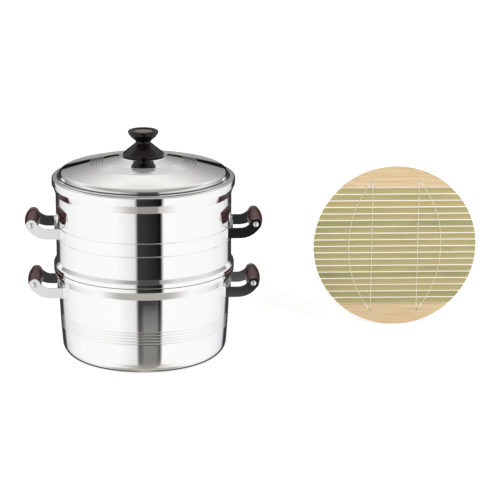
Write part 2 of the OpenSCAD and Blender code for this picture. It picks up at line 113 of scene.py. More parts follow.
def blended(tree, share, first, second):  # a colour between two
    return addNode(tree, "Mix", {0: share, 6: first, 7: second}, data_type="RGBA").outputs[2]


def mixed(tree, share, first, second):  # a shader between two
    return addNode(tree, "MixShader", {0: share, 1: first, 2: second}).outputs[0]


def rampOf(tree, pattern, stops):  # a colour along a ramp of (place, sRGB hex)
    return addNode(tree, "ValToRGB", {"Fac": pattern}, stops=stops).outputs[0]


def patterned(tree, scale, detail, **more):
    # Noise in the piece's own coordinates. The scale is per metre: one number, or one per axis.
    place = addNode(tree, "TexCoord").outputs["Object"]
    if isinstance(scale, tuple):
        place = addNode(tree, "Mapping", {"Vector": place, "Scale": scale}).outputs[0]
        scale = 1
    return addNode(tree, "TexNoise", {
        "Vector": place, "Scale": scale, "Detail": detail, **more}).outputs[0]


def setColour(tree, shader, colour):
    tree.links.new(colour, shader.inputs["Base Color"])


def setRough(tree, shader, pattern, least, most):  # roughness that follows a pattern
    rough = addNode(tree, "MapRange", {"Value": pattern, "To Min": least, "To Max": most})
    tree.links.new(rough.outputs[0], shader.inputs["Roughness"])


def setBump(tree, shader, pattern, strength, height):  # relief that follows a pattern
    bump = addNode(tree, "Bump", {
        "Height": pattern, "Strength": strength, "Distance": height * mm})
    tree.links.new(bump.outputs[0], shader.inputs["Normal"])


def makePolished():
    # Spun aluminium buffed to a mirror: clear reflections, only just softened by buffing lines
    # that run round the wall about 1 mm apart.
    material, tree, shader = newMaterial("polishedAluminium", {
        "Metallic": 1, "Base Color": tone("fcfcfb")})
    lines = patterned(tree, (4, 4, 900), 3)
    setRough(tree, shader, lines, 0.01, 0.035)
    setBump(tree, shader, lines, 0.03, 0.1)
    return material


def makeSatin():
    # Spun aluminium left with its turned rings, about 0.8 mm apart: a soft silky reflection.
    material, tree, shader = newMaterial("satinAluminium", {
        "Metallic": 1, "Base Color": tone("f9f8f6")})
    place = addNode(tree, "TexCoord").outputs["Object"]
    flat = addNode(tree, "VectorMath", {0: place, 1: (1, 1, 0)}, operation="MULTIPLY")
    radius = addNode(tree, "VectorMath", {0: flat.outputs[0]}, operation="LENGTH")
    turned = reckon(tree, "MULTIPLY", radius.outputs["Value"], 1250.0)
    rings = addNode(tree, "TexNoise", {"W": turned, "Scale": 1, "Detail": 4},
                    noise_dimensions="1D").outputs[0]
    setRough(tree, shader, rings, 0.10, 0.24)
    setBump(tree, shader, rings, 0.06, 0.1)
    return material


def makePaintedCreaseShade():
    # The foot of the lid's shoulder: a dull dark line of painted shade along the fold.
    return newMaterial("paintedCreaseShade", {
        "Metallic": 1, "Base Color": tone("6e6e6e"), "Roughness": 0.35})[0]


def makeStrap():
    # Rolled aluminium strip, tumbled bright: faint lengthwise rolling marks 0.5 mm apart.
    material, tree, shader = newMaterial("rolledAluminium", {
        "Metallic": 1, "Base Color": tone("efefef")})
    lines = patterned(tree, (40, 40, 2000), 2)
    setRough(tree, shader, lines, 0.03, 0.08)
    setBump(tree, shader, lines, 0.02, 0.1)
    return material


def makeFastener():
    # Bright aluminium rivets, rods and screw, with the fine speckle of tumbling, 0.3 mm across.
    material, tree, shader = newMaterial("tumbledAluminium", {
        "Metallic": 1, "Base Color": tone("f1f1f1")})
    setRough(tree, shader, patterned(tree, 3300, 1), 0.10, 0.20)
    return material


def makeGripWood():
    # Turned beech stained dark red-brown and lacquered: grain along the grip, streaks 1.5 mm
    # apart, fine pores, and a clear glossy coat that rounds them off.
    material, tree, shader = newMaterial("lacqueredBeech", {
        "Roughness": 0.4, "Specular IOR Level": 0.2, "Coat Weight": 0.55, "Coat Roughness": 0.07})
    streaks = patterned(tree, (650, 45, 650), 5, Distortion=0.6)
    setColour(tree, shader, rampOf(tree, streaks, [
        (0.30, "1c0a09"), (0.46, "3a1412"), (0.62, "571f1c"), (0.80, "6e3627")]))
    setBump(tree, shader, patterned(tree, (2600, 260, 2600), 2), 0.12, 0.15)
    return material


def makePhenolic():
    # Moulded phenolic, black-brown: a glossy skin with a faint orange peel 2 mm across.
    material, tree, shader = newMaterial("blackPhenolic", {
        "IOR": 1.5, "Specular IOR Level": 0.33})
    cloud = patterned(tree, 180, 3)
    setColour(tree, shader, rampOf(tree, cloud, [(0.35, "070505"), (0.65, "140d0d")]))
    setRough(tree, shader, cloud, 0.12, 0.26)
    setBump(tree, shader, patterned(tree, 500, 1), 0.08, 0.1)
    return material


def makePaintedDishSheen():
    # The knob's dish, grey and matt: a painted sheen for the light its top reflects.
    return newMaterial("paintedSheenPhenolic", {"Base Color": tone("6d6967"), "Roughness": 0.4})[0]


def makeBoardWood():
    # Sanded lime wood, unfinished: pale peach with soft grain lines 3 mm apart along the board.
    material, tree, shader = newMaterial("sandedLime", {"Roughness": 0.62})
    grain = patterned(tree, (16, 120, 330), 4, Distortion=0.4)
    setColour(tree, shader, rampOf(tree, grain, [
        (0.25, "c5a47b"), (0.45, "ceb48c"), (0.60, "d3bd98"), (0.80, "d9c7a8")]))
    setBump(tree, shader, patterned(tree, (150, 1500, 1900), 2), 0.2, 0.1)
    return material


def makeBambooSkin(pitch, firstZ):
    # The outer skin of split bamboo, dried from green to khaki: each slat has its own tone, with
    # broad stains, long fibres 0.5 mm apart and a low waxy sheen. Each slat also carries painted
    # shade: darker towards its upper side and lighter along its lower side.
    material, tree, shader = newMaterial("bambooSkin", {"Roughness": 0.42})
    parts = addNode(tree, "SeparateXYZ", {0: addNode(tree, "TexCoord").outputs["Object"]})
    lifted = reckon(tree, "ADD", parts.outputs["Z"], -firstZ * mm)
    rank = reckon(tree, "DIVIDE", lifted, pitch * mm)     # 0 at the first slat's middle
    slat = reckon(tree, "ROUND", rank)
    chance = addNode(tree, "TexWhiteNoise", {"W": slat}, noise_dimensions="1D")
    own = reckon(tree, "MULTIPLY_ADD", chance.outputs["Value"], 0.42, 0.29)
    stains = reckon(tree, "MULTIPLY_ADD", patterned(tree, (11, 40, 70), 2), 0.9, own)
    skin = rampOf(tree, stains, [(0.55, "84865a"), (0.80, "9d9966"), (1.0, "b4a676")])
    warm = rampOf(tree, chance.outputs["Color"], [
        (0.0, "939366"), (0.75, "a69c6b"), (1.0, "c2a05e")])
    colour = blended(tree, 0.4, skin, warm)
    fibres = patterned(tree, (30, 600, 2000), 3)
    lines = addNode(tree, "MapRange", {"Value": fibres, "To Min": 0.82, "To Max": 1.12})
    across = reckon(tree, "SUBTRACT", rank, slat)         # -0.5 at a slat's lower side, 0.5 above
    # painted shade: each slat darker towards its upper side and lighter towards its lower side
    paintedSlatShade = reckon(tree, "MULTIPLY_ADD", across, -0.25, 1)
    light = reckon(tree, "MULTIPLY", lines.outputs[0], paintedSlatShade)
    shaded = addNode(tree, "VectorMath", {0: colour, "Scale": light}, operation="SCALE")
    setColour(tree, shader, shaded.outputs[0])
    setBump(tree, shader, fibres, 0.25, 0.12)
    return material


def makeBambooFlesh():
    # The split sides and back of the slats: pale fibres 0.6 mm apart, matt and a little rough.
    material, tree, shader = newMaterial("bambooFlesh", {"Roughness": 0.7})
    fibres = patterned(tree, (25, 1600, 1600), 3)
    setColour(tree, shader, rampOf(tree, fibres, [
        (0.30, "d9c690"), (0.55, "eadfb2"), (0.80, "f4ecc9")]))
    setBump(tree, shader, fibres, 0.3, 0.12)
    return material


def makeString():
    # Two-ply cotton string: cream, matt, with a soft fuzz that catches light from the side.
    material, tree, shader = newMaterial("cottonString", {
        "Roughness": 0.85, "Sheen Weight": 0.3, "Sheen Roughness": 0.5})
    fuzz = patterned(tree, 2500, 2)
    setColour(tree, shader, rampOf(tree, fuzz, [(0.30, "f3e9cd"), (0.65, "fffbee")]))
    setBump(tree, shader, fuzz, 0.4, 0.1)
    return material


# ---- tools for pieces

# Points on each side of a groove's middle, and how far plain points keep from that middle
draft = {"groovePoints": 4, "before": 2, "after": 3}


def roundCorners(corners, step=7):
    # An open outline through corners (x, y, radius), each with a true arc
    line = []
    for i, (x, y, radius) in enumerate(corners):
        here = Vector((x, y))
        if not radius:
            line.append(here)
            continue
        back = (Vector(corners[i - 1][:2]) - here).normalized()
        on = (Vector(corners[i + 1][:2]) - here).normalized()
        half = back.angle(on) / 2
        middle = here + (back + on).normalized() * radius / math.sin(half)
        first = here + back * radius / math.tan(half) - middle
        last = here + on * radius / math.tan(half) - middle
        start = math.atan2(first.y, first.x)
        turn = (math.atan2(last.y, last.x) - start + math.pi) % (2 * math.pi) - math.pi
        count = max(3, math.ceil(abs(math.degrees(turn)) / step))
        for k in range(count + 1):
            angle = start + turn * k / count
            line.append(middle + radius * Vector((math.cos(angle), math.sin(angle))))
    return line


def groove(x, y, along, width, depth):
    # A soft rounded groove in a wall through (x, y) that runs along the direction given
    way = Vector(along).normalized()
    inward = Vector((-way.y, way.x))
    half = draft["groovePoints"]
    points = []
    for k in range(-half, half + 1):
        dip = depth * (1 + math.cos(math.pi * k / half)) / 2
        point = Vector((x, y)) + way * width * k / (2 * half) + inward * dip
        points.append((point.x, point.y, 0))
    return points


def spaced(start, end, step):  # numbers from start on, a step apart, until the end is reached
    places = []
    while (end - start) * step > 0:
        places.append(start)
        start += step
    return places


def grooved(start, end, gap, grooves, at, along, width, depth):
    # Corners along a wall from start to end, a gap apart between the grooves. "at" gives the
    # wall's point and "along" its direction at each place.
    ahead = math.copysign(1, end - start)
    step = gap * ahead
    corners = [(*at(s), 0) for s in spaced(start, grooves[0] - draft["before"] * ahead, step)]
    for s in grooves:
        corners += groove(*at(s), along(s), width, depth)
    return corners + [
        (*at(s), 0) for s in spaced(grooves[-1] + draft["after"] * ahead, end, step)]


def spinOutline(name, outline, steps=192):
    # Draws the outline (radius, height) in mm point by point and spins it round the Z axis
    deselectAll()
    bpy.ops.mesh.primitive_plane_add(size=mm)
    piece = bpy.context.object
    piece.name = name
    bpy.ops.object.mode_set(mode="EDIT")
    bpy.ops.mesh.merge(type="CENTER")
    here = outline[0]
    bpy.ops.transform.translate(value=(here[0] * mm, 0, here[1] * mm))
    for there in outline[1:]:
        step = ((there[0] - here[0]) * mm, 0, (there[1] - here[1]) * mm)
        bpy.ops.mesh.extrude_vertices_move(TRANSFORM_OT_translate={"value": step})
        here = there
    bpy.ops.mesh.select_all(action="SELECT")
    bpy.ops.mesh.spin(steps=steps, angle=2 * math.pi, center=(0, 0, 0), axis=(0, 0, 1))
    bpy.ops.mesh.select_all(action="SELECT")
    bpy.ops.mesh.remove_doubles(threshold=0.001 * mm)
    bpy.ops.mesh.normals_make_consistent(inside=False)
    bpy.ops.object.mode_set(mode="OBJECT")
    return piece


def finishWith(piece, kind, **settings):  # adds a modifier and applies it
    choose(piece)
    modifier = piece.modifiers.new(kind.lower(), kind)
    for name, value in settings.items():
        setattr(modifier, name, value)
    bpy.ops.object.modifier_apply(modifier=modifier.name)


def thicken(piece, wall):  # gives a spun sheet its thickness, on the inside
    finishWith(piece, "SOLIDIFY", thickness=wall * mm, offset=-1, use_even_offset=True,
               material_offset=1)


def roundEdges(piece, width, segments=2, angle=50):
    finishWith(piece, "BEVEL", width=width * mm, segments=segments, limit_method="ANGLE",
               angle_limit=math.radians(angle))


def smooth(piece, angle=35):
    choose(piece)
    bpy.ops.object.shade_smooth_by_angle(angle=math.radians(angle))
    finishWith(piece, "WEIGHTED_NORMAL", keep_sharp=True)     # keeps flat walls shading flat


def placeWith(piece, matrix):  # moves a piece and applies the place to its mesh
    choose(piece)
    piece.matrix_world = matrix
    bpy.ops.object.transform_apply(location=True, rotation=True, scale=True)


def cut(piece, tool):  # takes the tool's shape out of the piece
    finishWith(piece, "BOOLEAN", object=tool, operation="DIFFERENCE", solver="EXACT")
    bpy.data.objects.remove(tool)


def copyOf(piece, name):
    twin = piece.copy()
    twin.data = piece.data.copy()
    twin.name = name
    scene.collection.objects.link(twin)
    return twin


def finishPiece(piece, body, slot, materials, *nodes):
    piece.data.materials.clear()
    for material in materials:
        piece.data.materials.append(material)
    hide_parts(*nodes)
    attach(piece, body)
    piece.visible_glossy = body != "mat"      # the walls don't mirror the mat, as in the photo


def paint(piece, index, chosen):  # gives the faces that are chosen by centre and normal a material
    for face in piece.data.polygons:
        if chosen(face.center / mm, face.normal):
            face.material_index = index


# ---- studio

studio = {
    "aim": (0, 0, 177.2), "distance": 3557.4, "lens": 158.4, "sensor": 36,
    "elevation": 15.86, "turn": 2.757446, "tilt": 0.15045, "roll": 0.42,
    "cardDistance": 1141, "cardLeft": -800, "cardRight": 540, "cardBottom": -2600, "cardTop": 1600,
    "table": 60000, "tableGlow": 0.62, "worldLight": 0.72, "lampAim": (120, 0, 150),
}
# Where the reflected surroundings change. Heights are degrees above the horizon, and ways round
# go from 0 in front of the pot to 1 behind it. Each change runs from the first to the second.
sky = {
    "lowEnds": (2.5, 5), "horizonEnds": (10, 12), "darkStarts": (0.76, 0.82),
    "backStarts": (0.45, 0.75), "nearTableShade": (-26, -42), "nearWay": (0.34, 0.04),
    "farTableShade": (-56, -70), "farWay": (0.95, 0.60), "allTableShade": (-70, -80),
}


def makeCamera():
    up, down = math.radians(studio["elevation"]), math.radians(studio["tilt"])
    turn, roll = math.radians(studio["turn"]), math.radians(studio["roll"])
    forward = Vector((0, math.cos(up), -math.sin(up)))
    right = Vector((1, 0, 0))
    above = Vector((0, math.sin(up), math.cos(up)))
    spot = (Vector(studio["aim"]) - forward * studio["distance"]) * mm
    forward, right = (forward * math.cos(turn) + right * math.sin(turn),
                      right * math.cos(turn) - forward * math.sin(turn))
    forward, above = (forward * math.cos(down) - above * math.sin(down),
                      above * math.cos(down) + forward * math.sin(down))
    right, above = (right * math.cos(roll) - above * math.sin(roll),
                    right * math.sin(roll) + above * math.cos(roll))
    bpy.ops.object.camera_add()
    camera = bpy.context.object
    camera.name = "photoCamera"
    camera.data.lens = studio["lens"]
    camera.data.sensor_width = studio["sensor"]
    place = Matrix((right, above, -forward)).transposed().to_4x4()
    place.translation = spot
    camera.matrix_world = place
    scene.camera = camera


def seenDirectly(tree, path):  # 1 for rays from the camera, also through something clear
    return reckon(tree, "MAXIMUM", path.outputs["Is Camera Ray"],
                  path.outputs["Is Transmission Ray"])


def makeWorld():
    # The camera sees plain white, and white light falls on the pieces. Reflections see a studio:
    # bright low down in front and at the sides and dark behind, a near black line behind just
    # above the horizon, a light band half way up and a grey ceiling. Below the horizon, in front
    # of the pot and straight down, the table shows as warm grey: a painted shadow of the pot on
    # it.
    world = bpy.data.worlds.new("studioWorld")
    scene.world = world
    world.use_nodes = True
    tree = world.node_tree
    tree.nodes.clear()

    def rising(value, start, end):  # smoothly from 0 at start to 1 at end
        return addNode(tree, "MapRange", {"Value": value, "From Min": start, "From Max": end},
                       interpolation_type="SMOOTHSTEP").outputs[0]

    way = addNode(tree, "SeparateXYZ", {0: addNode(tree, "TexCoord").outputs["Generated"]})
    towards = reckon(tree, "MULTIPLY", way.outputs["Y"], -1.0)
    around = reckon(tree, "ABSOLUTE", reckon(tree, "ARCTAN2", way.outputs["X"], towards))
    back = reckon(tree, "DIVIDE", around, math.pi)
    height = reckon(tree, "DEGREES", reckon(tree, "ARCSINE", way.outputs["Z"]))
    rise = addNode(tree, "MapRange", {"Value": height, "From Min": 0, "From Max": 90}).outputs[0]
    low = rampOf(tree, back, [
        (0.0, "ffffff"), (0.55, "fbfbfc"), (0.68, "f2f2f4"), (0.78, "d8d8da"), (0.82, "3a3a3b"),
        (0.945, "3c3c3c"), (0.97, "a2a2a2"), (1.0, "aaaaaa")])
    horizon = blended(tree, rising(back, *sky["darkStarts"]), tone("f6f6f7"), tone("161616"))
    behind = rampOf(tree, rise, [
        (0.13, "8c8c8c"), (0.25, "a8a8a8"), (0.38, "d8d6d5"), (0.47, "f6f4f2"),
        (0.53, "dfddda"), (0.60, "cccac8"), (0.82, "bab8b6"), (0.97, "b4b4b4")])
    front = rampOf(tree, rise, [
        (0.13, "f4f4f4"), (0.30, "e8e8e8"), (0.46, "dcdcdc"), (0.50, "a4a4a4"), (0.66, "989898"),
        (0.80, "acacac"), (0.97, "b4b4b4")])
    over = blended(tree, rising(back, *sky["backStarts"]), front, behind)
    # painted shadow of the pot on the table, seen only in reflections: near in front, farther off,
    # and straight below
    near = reckon(tree, "MULTIPLY", rising(height, *sky["nearTableShade"]),
                  rising(back, *sky["nearWay"]))
    far = reckon(tree, "MULTIPLY", rising(height, *sky["farTableShade"]), rising(back, *sky["farWay"]))
    table = reckon(tree, "MAXIMUM", reckon(tree, "MAXIMUM", near, far),
                   rising(height, *sky["allTableShade"]))
    shine = blended(tree, rising(height, *sky["lowEnds"]), low, horizon)
    shine = blended(tree, rising(height, *sky["horizonEnds"]), shine, over)
    shine = blended(tree, table, shine, tone("b2afa8"))
    path = addNode(tree, "LightPath")
    glossy = addNode(tree, "Background", {"Color": shine, "Strength": 1.0})
    plain = addNode(tree, "Background", {
        "Color": tone("ffffff"), "Strength": studio["worldLight"]})
    white = addNode(tree, "Background", {"Color": tone("ffffff"), "Strength": 1.0})
    lit = mixed(tree, path.outputs["Is Glossy Ray"], plain.outputs[0], glossy.outputs[0])
    addNode(tree, "OutputWorld", {0: mixed(tree, seenDirectly(tree, path), lit, white.outputs[0])})


def makeFloor():
    # A white table: it shows white to the camera and keeps the pot's soft shadow
    deselectAll()
    bpy.ops.mesh.primitive_plane_add(size=studio["table"] * mm)
    floor = bpy.context.object
    floor.name = "whiteTable"
    floor.visible_glossy = False
    material, tree, shader = newMaterial("whiteTable", {
        "Base Color": tone("e8e8e8"), "Roughness": 0.9})
    glow = addNode(tree, "Emission", {"Color": tone("ffffff"), "Strength": studio["tableGlow"]})
    paper = addNode(tree, "BsdfDiffuse", {"Color": tone("c0c0c0")})
    both = addNode(tree, "AddShader", {0: paper.outputs[0], 1: glow.outputs[0]})
    seen = seenDirectly(tree, addNode(tree, "LightPath"))
    out = mixed(tree, seen, shader.outputs[0], both.outputs[0])
    tree.links.new(out, tree.nodes["Material Output"].inputs["Surface"])
    floor.data.materials.append(material)


def makeCard():
    # A dark card in front of the pot, seen only in the metal: it draws the dark stripe down the
    # middle of the walls. It is near black at eye level and greyer above and below, with a
    # lighter middle low down, soft edges and a faint veil to its left.
    wide = (studio["cardRight"] - studio["cardLeft"]) * mm
    tall = (studio["cardTop"] - studio["cardBottom"]) * mm
    deselectAll()
    bpy.ops.mesh.primitive_plane_add(size=1, rotation=(math.pi / 2, 0, 0), location=(
        (studio["cardLeft"] + studio["cardRight"]) / 2 * mm, -studio["cardDistance"] * mm,
        (studio["cardTop"] + studio["cardBottom"]) / 2 * mm))
    card = bpy.context.object
    card.name = "darkCard"
    card.scale = (wide, tall, 1)
    for kind in ("camera", "diffuse", "shadow", "transmission", "volume_scatter"):
        setattr(card, "visible_" + kind, False)
    material, tree, shader = newMaterial("darkCard", {})
    place = addNode(tree, "SeparateXYZ", {0: addNode(tree, "TexCoord").outputs["Generated"]})
    across, upward = place.outputs["X"], place.outputs["Y"]
    edges = rampOf(tree, upward, [
        (0.45, "98958f"), (0.49, "62615c"), (0.533, "4a4a4a"), (0.556, "222222"),
        (0.595, "0e0f10"), (0.626, "0c0d0e"), (0.66, "202122"), (0.74, "484848")])
    middle = rampOf(tree, upward, [
        (0.45, "98958f"), (0.495, "807e7a"), (0.533, "848482"), (0.551, "6e6e6c"),
        (0.568, "1c1d1e"), (0.626, "0c0d0e"), (0.66, "202122"), (0.74, "484848")])
    inner = rampOf(tree, across, [
        (0.53, "000000"), (0.60, "ffffff"), (0.83, "ffffff"), (0.89, "000000")])
    veil = rampOf(tree, across, [
        (0.0, "000000"), (0.29, "626262"), (0.37, "747474"), (0.43, "898989"),
        (0.485, "fbfbfb"), (0.91, "ffffff"), (0.95, "bcbcbc"), (0.975, "000000")])
    glow = addNode(tree, "Emission", {
        "Color": blended(tree, inner, edges, middle), "Strength": 1.0})
    clear = addNode(tree, "BsdfTransparent")
    out = mixed(tree, veil, clear.outputs[0], glow.outputs[0])
    tree.links.new(out, tree.nodes["Material Output"].inputs["Surface"])
    card.data.materials.append(material)


def makeLamp(name, place, size, power):
    bpy.ops.object.light_add(type="AREA", location=[v * mm for v in place])
    lamp = bpy.context.object
    lamp.name = name
    lamp.data.shape = "DISK"
    lamp.data.size = size * mm
    lamp.data.energy = power
    lamp.visible_glossy = False
    target = Vector(studio["lampAim"]) * mm
    lamp.rotation_euler = (target - lamp.location).to_track_quat("-Z", "Y").to_euler()


makeCamera()
makeWorld()
makeFloor()
makeCard()
makeLamp("keyLamp", place=(-1500, -1900, 2400), size=1500, power=55)
makeLamp("fillLamp", place=(2100, -1700, 1900), size=1500, power=28)
scene.view_settings.view_transform = "Standard"
print("studio: camera, world, table, dark card and two soft lamps")

polished, satin, strapMetal, fastener = makePolished(), makeSatin(), makeStrap(), makeFastener()


# ---- pot

pot = {
    "wall": 1.0, "drawIn": 7.2, "taper": 6.9, "bow": 1.4, "footRadius": 20,
    "bandHeight": 6, "stepHeight": 13.5, "stepBend": 2, "bandBend": 3,
    "grooveFirst": 52, "groovePitch": 4.85, "grooveCount": 5, "grooveWidth": 2.2,
    "grooveDepth": 0.45, "rimRound": 0.3, "footClear": 4, "stepClear": 5, "gap": 3,
}


def makePot():
    high = boxOf("pot_body")[1]
    mouth, rim = high.x, high.z
    top = mouth - pot["drawIn"]
    stepZ = rim - pot["bandHeight"] - pot["stepHeight"]

    def wallAt(z):
        t = z / stepZ
        return top - pot["taper"] * (1 - t) + 4 * pot["bow"] * t * (1 - t)

    grooves = [pot["grooveFirst"] + pot["groovePitch"] * i for i in range(pot["grooveCount"])]
    corners = [(0, 0, 0), (wallAt(0), 0, pot["footRadius"])]
    corners += grooved(pot["footRadius"] + pot["footClear"], stepZ - pot["stepClear"], pot["gap"],
                       grooves, lambda z: (wallAt(z), z), lambda z: (0, 1),
                       pot["grooveWidth"], pot["grooveDepth"])
    corners += [(top, stepZ, pot["stepBend"]),
                (mouth, rim - pot["bandHeight"], pot["bandBend"]), (mouth, rim, 0)]
    shell = spinOutline("potShell", roundCorners(corners))
    thicken(shell, pot["wall"])
    roundEdges(shell, pot["rimRound"], angle=60)
    smooth(shell)
    finishPiece(shell, "pot", "polished_metal", [polished, satin], "pot_body")


makePot()
print("pot: spun shell with five grooves and a stepped mouth")


# ---- steaming tier

tier = {
    "wall": 1.0, "bandOut": 4.3, "spigotIn": 9.4, "floorBend": 6, "floorRadius": 128,
    "seatAbove": 18, "seatBend": 1.6, "bulgeHeight": 14, "bulgeBend": 5.4, "bulgeTop": 4,
    "grooveFirst": 50.5, "groovePitch": 21.5, "grooveWidth": 2.2, "grooveDepth": 0.45,
    "bandHeight": 12.6, "stepHeight": 12.4, "stepBend": 4, "rimRound": 0.3,
    "holeDiameter": 9, "holeRings": 4, "holePitch": 27, "punch": 6,
}


def makeTier():
    low, high = boxOf("steamer_body")
    mouth, rim, floorZ = high.x, high.z, low.z
    wall = mouth - tier["bandOut"]
    spigot = mouth - tier["spigotIn"]
    seat = floorZ + tier["seatAbove"]
    bandZ = rim - tier["bandHeight"]
    corners = [
        (tier["floorRadius"], floorZ, 0), (spigot, floorZ, tier["floorBend"]),
        (spigot, seat, tier["seatBend"]), (mouth, seat, tier["seatBend"]),
        (mouth, seat + tier["bulgeHeight"] / 2, tier["bulgeBend"]),
        (wall, seat + tier["bulgeHeight"], tier["bulgeTop"])]
    for z in (seat + tier["grooveFirst"], seat + tier["grooveFirst"] + tier["groovePitch"]):
        corners += groove(wall, z, (0, 1), tier["grooveWidth"], tier["grooveDepth"])
    corners += [(wall, bandZ - tier["stepHeight"], tier["stepBend"]),
                (mouth, bandZ, tier["stepBend"]), (mouth, rim, 0)]
    shell = spinOutline("steamerShell", roundCorners(corners))
    thicken(shell, tier["wall"])
    openEdge(shell, tier["floorRadius"])
    sheet = makePerforatedFloor(floorZ)
    openEdge(sheet, tier["floorRadius"])
    joined(shell, sheet)
    bpy.ops.object.mode_set(mode="EDIT")
    bpy.ops.mesh.select_all(action="SELECT")
    bpy.ops.mesh.remove_doubles(threshold=0.01 * mm)
    bpy.ops.object.mode_set(mode="OBJECT")
    roundEdges(shell, tier["rimRound"], angle=60)
    smooth(shell)
    finishPiece(shell, "steamer", "polished_metal", [polished, satin], "steamer_body")
    paint(shell, 1, lambda at, normal: at.xy.length < tier["floorRadius"])


def openEdge(piece, radius):  # deletes the upright faces at a radius, so that two sheets can join
    choose(piece)
    bpy.ops.object.mode_set(mode="EDIT")
    bpy.ops.mesh.select_mode(type="FACE")
    bpy.ops.mesh.select_all(action="DESELECT")
    bpy.ops.object.mode_set(mode="OBJECT")
    for face in piece.data.polygons:
        face.select = (abs(face.normal.z) < 0.1
                       and abs(face.center.xy.length / mm - radius) < touching)
    bpy.ops.object.mode_set(mode="EDIT")
    bpy.ops.mesh.delete(type="FACE")
    bpy.ops.mesh.select_mode(type="VERT")
    bpy.ops.object.mode_set(mode="OBJECT")


def makePerforatedFloor(floorZ):
    deselectAll()
    bpy.ops.mesh.primitive_cylinder_add(
        vertices=192, radius=tier["floorRadius"] * mm, depth=tier["wall"] * mm,
        location=(0, 0, (floorZ + tier["wall"] / 2) * mm))
    sheet = bpy.context.object
    bpy.ops.object.transform_apply(location=True, rotation=True, scale=True)
    places = [(0, 0)]
    for ring in range(1, tier["holeRings"] + 1):
        for i in range(6 * ring):
            angle = math.radians(60 * i / ring)
            places.append((tier["holePitch"] * ring * math.cos(angle),
                           tier["holePitch"] * ring * math.sin(angle)))
    punches = []
    for x, y in places:
        bpy.ops.mesh.primitive_cylinder_add(
            vertices=32, radius=tier["holeDiameter"] / 2 * mm, depth=tier["punch"] * mm,
            location=(x * mm, y * mm, floorZ * mm))
        punches.append(bpy.context.object)
    cut(sheet, joined(*punches))
    return sheet


makeTier()
print("steaming tier: spun shell, perforated floor, bulge and stepped mouth")


# ---- lid and knob

lid = {
    "wall": 1.0, "ledge": 8.5, "ledgeRise": 0.4, "ledgeBend": 3.2, "collarFoot": 0.6,
    "collarLean": 4.9, "collarRound": 9, "aboveLedge": 32,
    "domeSlope": 11.3, "domeRadius": 1170,
    "seatRadius": 38, "seatHeight": 0.8, "ringFirst": 66, "ringPitch": 4.6,
    "ringCount": 5, "ringWidth": 2.2, "ringDepth": 0.45, "rimRound": 0.3,
    "creaseFrom": 1.3, "creaseTo": 3.9, "creaseIn": 0.3, "seatBend": 0.8, "seatClear": 1,
    "gap": 2.5,
}
knob = {
    "foot": 32.5, "edge": 4, "neck": 12.2, "neckZ": 24, "neckHeight": 3, "cup": 24.25,
    "rim": 4.5, "dish": 16.5, "dishDepth": 2, "sharp": 0.8, "soft": 1.6, "lip": 2.4,
    "cupBend": 8, "cupSwell": 2 / 3,
}


def makeLid():
    # Skirt, ledge, a steep rounded shoulder with a dull dark line of painted shade at its foot,
    # and a shallow dome with turned rings up to the knob's seat
    low, high = boxOf("lid_body")
    outer, top = high.x, high.z
    ledgeZ = top - lid["seatHeight"] - lid["aboveLedge"]
    collarR = outer - lid["ledge"]
    seatEdge = lid["seatRadius"] + 2 * lid["seatHeight"]
    slope, ball = math.radians(lid["domeSlope"]), lid["domeRadius"]
    middleR = seatEdge - ball * math.sin(slope)
    middleZ = top - lid["seatHeight"] - ball * math.cos(slope)

    def domeAt(r):
        return middleZ + math.sqrt(ball ** 2 - (r - middleR) ** 2)

    def domeWay(r):  # the dome's direction, inwards
        return (-math.sqrt(ball ** 2 - (r - middleR) ** 2), r - middleR)

    rings = [lid["ringFirst"] + lid["ringPitch"] * i for i in range(lid["ringCount"])]
    collarTop = collarR - lid["collarLean"]
    fold = Vector((collarR, ledgeZ + lid["ledgeRise"]))
    shoulder = Vector((collarTop, domeAt(collarTop)))
    upward = (shoulder - fold).normalized()
    creaseLow = fold + upward * lid["creaseFrom"]
    creaseHigh = fold + upward * lid["creaseTo"]
    corners = [(outer, low.z, 0), (outer, ledgeZ, lid["ledgeBend"]),
               (*fold, lid["collarFoot"]), (*creaseLow, 0), (*creaseHigh, 0),
               (*shoulder, lid["collarRound"])]
    corners += grooved(collarTop - lid["collarRound"] / 2, seatEdge + lid["seatClear"], lid["gap"],
                       rings[::-1], lambda r: (r, domeAt(r)), domeWay,
                       lid["ringWidth"], lid["ringDepth"])
    corners += [(seatEdge, domeAt(seatEdge), 0), (lid["seatRadius"], top, lid["seatBend"]),
                (0, top, 0)]
    shell = spinOutline("lidShell", roundCorners(corners))
    thicken(shell, lid["wall"])
    roundEdges(shell, lid["rimRound"], angle=60)
    smooth(shell)
    finishPiece(shell, "lid", "satin_metal", [polished, satin, makePaintedCreaseShade()], "lid_body")
    # painted shade: the faces at the shoulder's foot, between the two crease points, get the dark
    # material
    paint(shell, 2, lambda at, normal: creaseLow.y < at.z < creaseHigh.y and normal.z > 0
          and at.xy.length > creaseHigh.x - lid["creaseIn"])


